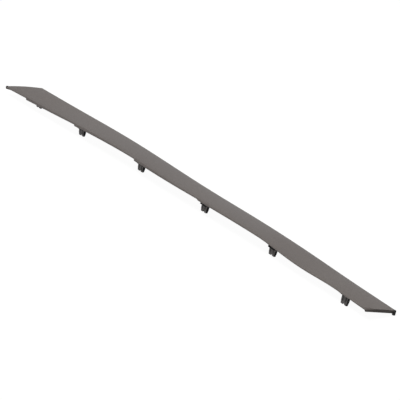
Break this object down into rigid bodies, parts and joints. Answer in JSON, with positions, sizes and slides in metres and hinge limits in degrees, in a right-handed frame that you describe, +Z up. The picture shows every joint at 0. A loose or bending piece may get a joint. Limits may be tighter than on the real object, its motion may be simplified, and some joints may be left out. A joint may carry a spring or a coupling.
{
  "type": "car body side moulding",
  "caption": "Long grey moulded strip with raked pointed ends, a waved face and push-in clips on the back, for a car's side.",
  "frame": {"origin": "centre of the box round the part, on the floor that it lies on", "axes": "+X along the strip to the end with the deeper stop, +Y across it to the edge without clips, +Z up; the show face looks up and leans towards +Y"},
  "size_m": [1.0043, 0.0553, 0.0349],
  "materials": {
    "strip": "injection-moulded polypropylene, warm mid grey, finely grained, satin",
    "clip": "injection-moulded nylon, black, smooth and matt"
  },
  "bodies": {
    "root": {"moulding": "strip", "clip_1": "clip", "clip_2": "clip", "clip_3": "clip", "clip_4": "clip", "clip_5": "clip", "clip_6": "clip", "stop_1": "clip", "stop_2": "clip"}
  },
  "joints": []
}
